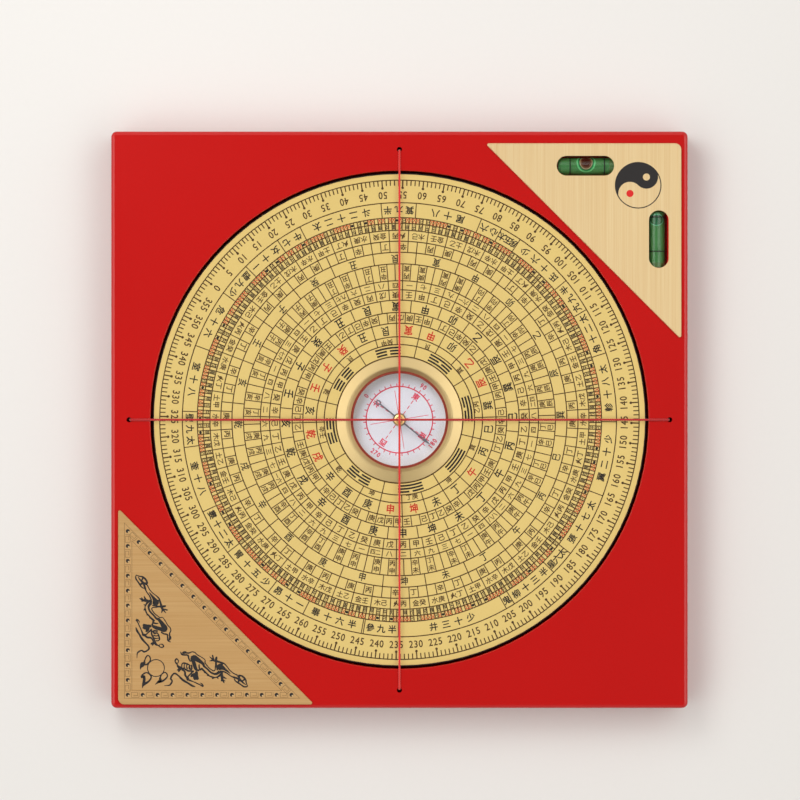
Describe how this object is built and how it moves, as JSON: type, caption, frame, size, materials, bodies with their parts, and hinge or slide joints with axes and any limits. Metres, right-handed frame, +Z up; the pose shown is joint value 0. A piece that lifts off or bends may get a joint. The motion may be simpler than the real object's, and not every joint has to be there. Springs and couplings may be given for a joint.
{
  "type": "feng shui compass",
  "caption": "Square board compass: a brass dial turns in a recess round a glazed magnetic needle, under crossed sighting threads, with spirit levels in a corner plate.",
  "frame": {"origin": "middle of the board's underside, where it lies on a table", "axes": "+Z up out of the dial's face, +X to the picture's right, +Y to the picture's top; the level plate is at the +X +Y corner"},
  "size_m": [0.207, 0.207, 0.0195],
  "materials": {
    "red_bakelite": "satin",
    "black_bakelite": "satin",
    "etched_brass": "satin",
    "turned_brass": "gloss",
    "brushed_brass": "satin",
    "clear_glass": "gloss",
    "clear_acrylic": "gloss",
    "red_rubber": "matte",
    "printed_card": "matte",
    "blued_steel": "satin",
    "red_thread": "matte",
    "green_fluid": "gloss",
    "air_bubble": "gloss",
    "green_plug": "matte",
    "grey_felt": "matte"
  },
  "bodies": {
    "board": {"board": "red_bakelite", "glide_ring": "grey_felt", "across_thread": "red_thread", "upright_thread": "red_thread", "level_plate": "brushed_brass", "ornament_plate": "brushed_brass", "across_vial_tube": "clear_acrylic", "across_vial_plug": "green_plug", "across_vial_fluid": "green_fluid", "upright_vial_tube": "clear_acrylic", "upright_vial_plug": "green_plug", "upright_vial_fluid": "green_fluid"},
    "dial": {"dial_core": "black_bakelite", "dial_face": "etched_brass", "capsule_cup": "turned_brass", "compass_card": "printed_card", "needle_pivot": "blued_steel", "lens": "clear_glass", "lens_gasket": "red_rubber", "capsule_bezel": "turned_brass"},
    "needle": {"needle": "blued_steel", "needle_cap": "turned_brass"},
    "across_bubble": {"across_vial_bubble": "air_bubble"},
    "upright_bubble": {"upright_vial_bubble": "air_bubble"}
  },
  "joints": [
    {"name": "dial_turn", "type": "hinge", "parent": "board", "child": "dial", "pos_m": [0, 0, 0], "axis": [0, 0, 1], "continuous": true},
    {"name": "needle_swing", "type": "hinge", "parent": "dial", "child": "needle", "pos_m": [0, 0, 0], "axis": [0, 0, 1], "continuous": true},
    {"name": "across_bubble_slide", "type": "slide", "parent": "board", "child": "across_bubble", "axis": [1, 0, 0], "range_m": [-0.0064, 0.0056]},
    {"name": "upright_bubble_slide", "type": "slide", "parent": "board", "child": "upright_bubble", "axis": [0, 1, 0], "range_m": [-0.0121, 0]}
  ]
}
